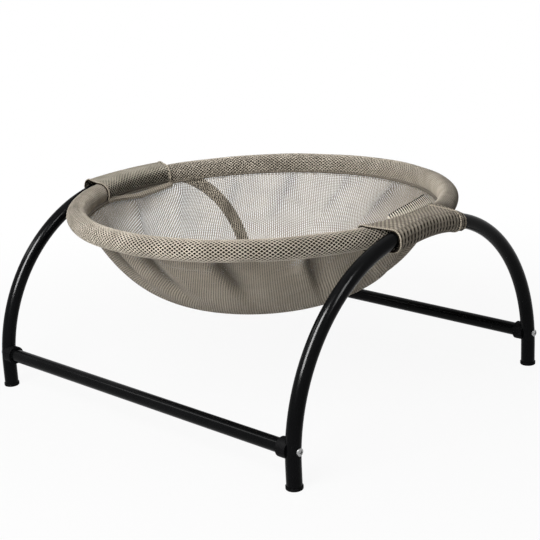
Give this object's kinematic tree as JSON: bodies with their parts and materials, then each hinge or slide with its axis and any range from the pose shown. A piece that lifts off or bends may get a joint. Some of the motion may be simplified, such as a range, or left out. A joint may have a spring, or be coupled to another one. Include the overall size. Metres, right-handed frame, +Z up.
{
  "type": "cat hammock",
  "caption": "Free-standing cat hammock: bent tube arches joined by crossbars carry a round see-through mesh bowl on a hoop, hung in fabric sleeves so that it can tilt a little.",
  "frame": {"origin": "on the floor under the middle of the rim", "axes": "+X from the left arch to the right arch, +Y from the front of the picture to the back, +Z up"},
  "size_m": [0.4738, 0.4424, 0.2245],
  "materials": {
    "left_arch_tube": "black satin paint",
    "right_arch_tube": "black satin paint",
    "front_crossbar": "black satin paint",
    "rear_crossbar": "black satin paint",
    "front_left_saddle": "black moulded plastic",
    "front_right_saddle": "black moulded plastic",
    "rear_left_saddle": "black moulded plastic",
    "rear_right_saddle": "black moulded plastic",
    "front_left_insert": "plain steel",
    "front_right_insert": "plain steel",
    "rear_left_insert": "plain steel",
    "rear_right_insert": "plain steel",
    "front_left_screw": "zinc plated",
    "front_right_screw": "zinc plated",
    "rear_left_screw": "zinc plated",
    "rear_right_screw": "zinc plated",
    "front_left_foot_cap": "black moulded plastic",
    "front_right_foot_cap": "black moulded plastic",
    "rear_left_foot_cap": "black moulded plastic",
    "rear_right_foot_cap": "black moulded plastic",
    "rim_hoop": "black paint",
    "rim_hoop_joiner": "plain steel",
    "rim_cover": "taupe air mesh",
    "rim_seam_tape": "sewn mesh edge",
    "bowl_mesh": "taupe air mesh",
    "left_sleeve": "taupe air mesh",
    "right_sleeve": "taupe air mesh",
    "left_sleeve_hem": "sewn mesh edge",
    "right_sleeve_hem": "sewn mesh edge"
  },
  "bodies": {
    "frame": {"left_arch_tube": "left_arch_tube", "right_arch_tube": "right_arch_tube", "front_crossbar": "front_crossbar", "rear_crossbar": "rear_crossbar", "front_left_saddle": "front_left_saddle", "front_right_saddle": "front_right_saddle", "rear_left_saddle": "rear_left_saddle", "rear_right_saddle": "rear_right_saddle", "front_left_insert": "front_left_insert", "front_right_insert": "front_right_insert", "rear_left_insert": "rear_left_insert", "rear_right_insert": "rear_right_insert", "front_left_screw": "front_left_screw", "front_right_screw": "front_right_screw", "rear_left_screw": "rear_left_screw", "rear_right_screw": "rear_right_screw", "front_left_foot_cap": "front_left_foot_cap", "front_right_foot_cap": "front_right_foot_cap", "rear_left_foot_cap": "rear_left_foot_cap", "rear_right_foot_cap": "rear_right_foot_cap"},
    "hammock": {"rim_hoop": "rim_hoop", "rim_hoop_joiner": "rim_hoop_joiner", "rim_cover": "rim_cover", "rim_seam_tape": "rim_seam_tape", "bowl_mesh": "bowl_mesh", "left_sleeve": "left_sleeve", "right_sleeve": "right_sleeve", "left_sleeve_hem": "left_sleeve_hem", "right_sleeve_hem": "right_sleeve_hem"}
  },
  "joints": [
    {"name": "hammock_tilt", "type": "hinge", "parent": "frame", "child": "hammock", "pos_m": [0, -0.00037, 0.2132], "axis": [1, 0, 0], "range_deg": [-4, 4]}
  ]
}
